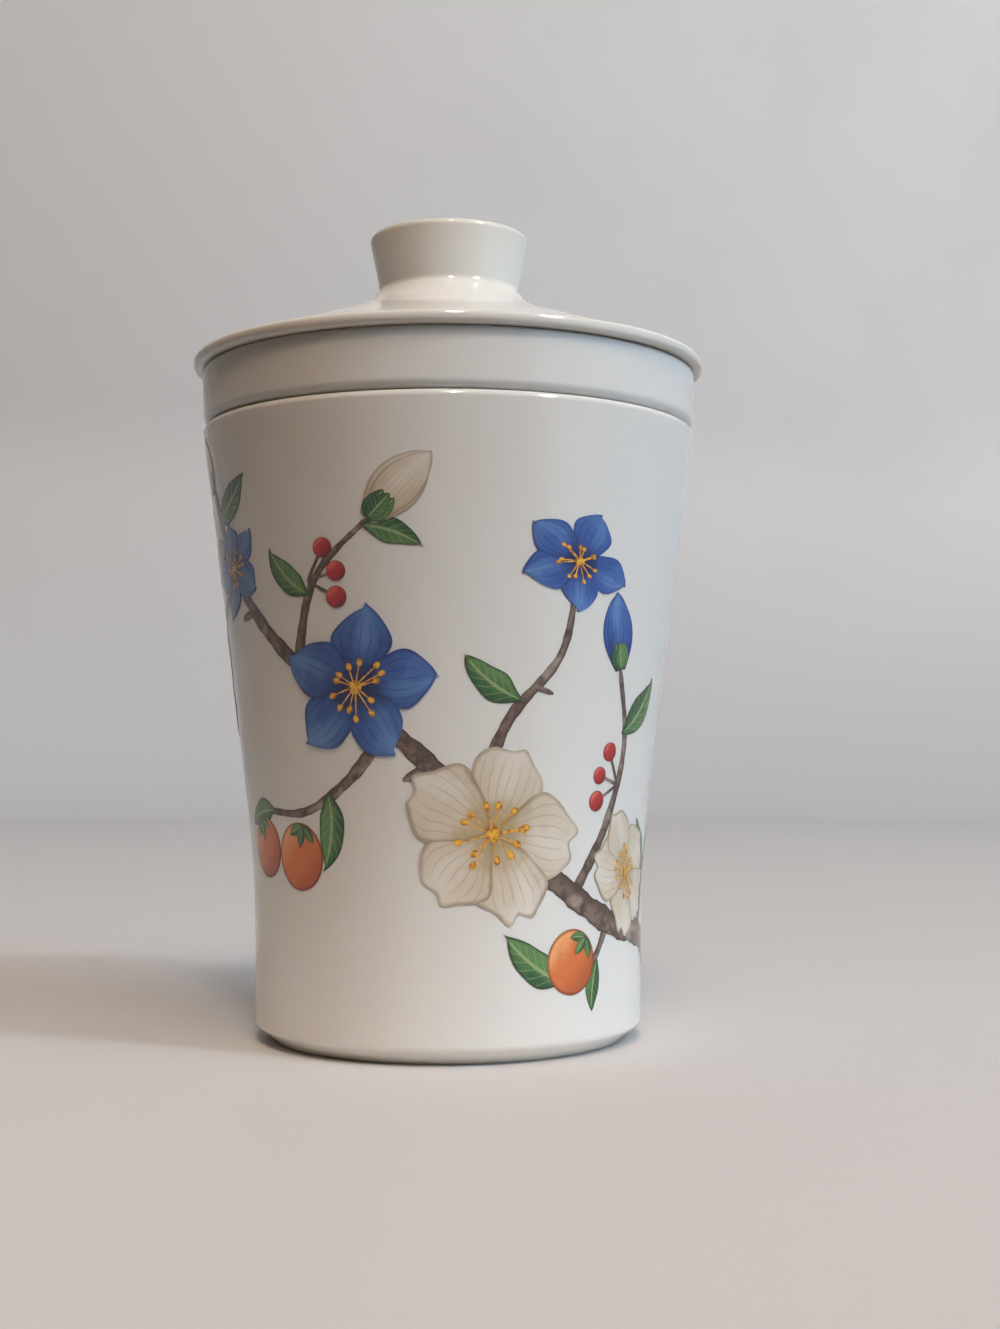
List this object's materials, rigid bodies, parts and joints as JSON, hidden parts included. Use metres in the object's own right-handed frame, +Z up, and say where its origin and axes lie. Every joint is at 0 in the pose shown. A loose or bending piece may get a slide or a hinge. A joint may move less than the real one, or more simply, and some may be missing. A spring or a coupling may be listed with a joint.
{
  "type": "lidded tea cup with strainer",
  "caption": "Flared porcelain tea cup with a lift-out perforated strainer whose collar rests on the rim, and a domed lid with a flared knob that seats on the collar.",
  "frame": {"origin": "centre of the foot ring, on the plane that it stands on", "axes": "+Z up along the common axis of cup, strainer and lid"},
  "size_m": [0.0854, 0.0854, 0.134],
  "materials": {
    "cup_glaze": "glossy clear glaze over white porcelain",
    "strainer_glaze": "glossy clear glaze over white porcelain",
    "lid_glaze": "glossy clear glaze over white porcelain"
  },
  "bodies": {
    "cup": {"cup_body": "cup_glaze"},
    "strainer": {"strainer": "strainer_glaze"},
    "lid": {"lid": "lid_glaze", "lid_knob": "lid_glaze"}
  },
  "joints": [
    {"name": "strainer_lift", "type": "slide", "parent": "cup", "child": "strainer", "axis": [0, 0, 1], "range_m": [0, 0.115]},
    {"name": "lid_lift", "type": "slide", "parent": "strainer", "child": "lid", "axis": [0, 0, 1], "range_m": [0, 0.06]}
  ]
}
